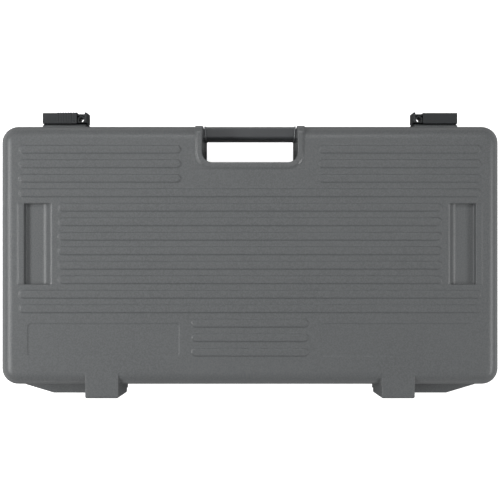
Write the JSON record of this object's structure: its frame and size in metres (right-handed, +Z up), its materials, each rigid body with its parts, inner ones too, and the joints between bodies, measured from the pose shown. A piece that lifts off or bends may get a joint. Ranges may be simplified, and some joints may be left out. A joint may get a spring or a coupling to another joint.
{
  "type": "guitar pedal case",
  "caption": "Moulded grey clamshell case for effect pedals: ribbed lid on rear hinges, sliding latches with padlock holes, carrying grip in a through opening, foam lining and a junction box.",
  "frame": {"origin": "middle of the whole outline in X and Y, on the floor under the rubber feet", "axes": "+Z up out of the lid, -Y towards the grip and latches, +Y towards the hinges, +X to the right for someone who faces the latches"},
  "size_m": [0.7326, 0.4266, 0.1322],
  "materials": {
    "case_grey": "grained moulded plastic, mid grey",
    "latch_black": "smooth satin moulded plastic, near black",
    "grip_grey": "smooth satin moulded plastic, dark grey",
    "screw_steel": "zinc plated steel",
    "pin_steel": "bright drawn steel",
    "foot_rubber": "matt black rubber",
    "foam": "open-cell foam, charcoal",
    "box_black": "textured moulded plastic, black",
    "socket_black": "smooth moulded plastic, black",
    "nut_nickel": "nickel plated"
  },
  "bodies": {
    "base": {"base_foam_bed": "foam", "base_shell": "case_grey", "dc_socket": "socket_black", "foam_divider_1": "foam", "foam_divider_2": "foam", "foam_divider_3": "foam", "handle_collars": "grip_grey", "handle_grip": "grip_grey", "handle_screws": "screw_steel", "hinge_pin_left": "pin_steel", "hinge_pin_right": "pin_steel", "jack_nuts": "nut_nickel", "jack_socket_1": "socket_black", "jack_socket_2": "socket_black", "junction_box_cover": "box_black", "junction_box_housing": "box_black", "junction_box_screws": "screw_steel", "latch_track_left": "latch_black", "latch_track_right": "latch_black", "latch_track_screws": "screw_steel", "rear_foam_left": "foam", "rear_foam_right": "foam", "rubber_feet": "foot_rubber", "rubber_foot_screws": "screw_steel", "side_foam_left": "foam", "side_foam_right": "foam"},
    "lid": {"latch_keeper_left": "latch_black", "latch_keeper_right": "latch_black", "latch_keeper_screws": "screw_steel", "lid_foam": "foam", "lid_shell": "case_grey"},
    "slider_right": {"latch_slider_right": "latch_black"},
    "slider_left": {"latch_slider_left": "latch_black"}
  },
  "joints": [
    {"name": "lid_hinge", "type": "hinge", "parent": "base", "child": "lid", "pos_m": [0, 0.20235, 0.066], "axis": [-1, 0, 0], "range_deg": [0, 105]},
    {"name": "latch_slide_right", "type": "slide", "parent": "base", "child": "slider_right", "axis": [-1, 0, 0], "range_m": [0, 0.0112]},
    {"name": "latch_slide_left", "type": "slide", "parent": "base", "child": "slider_left", "axis": [1, 0, 0], "range_m": [0, 0.0112]}
  ]
}
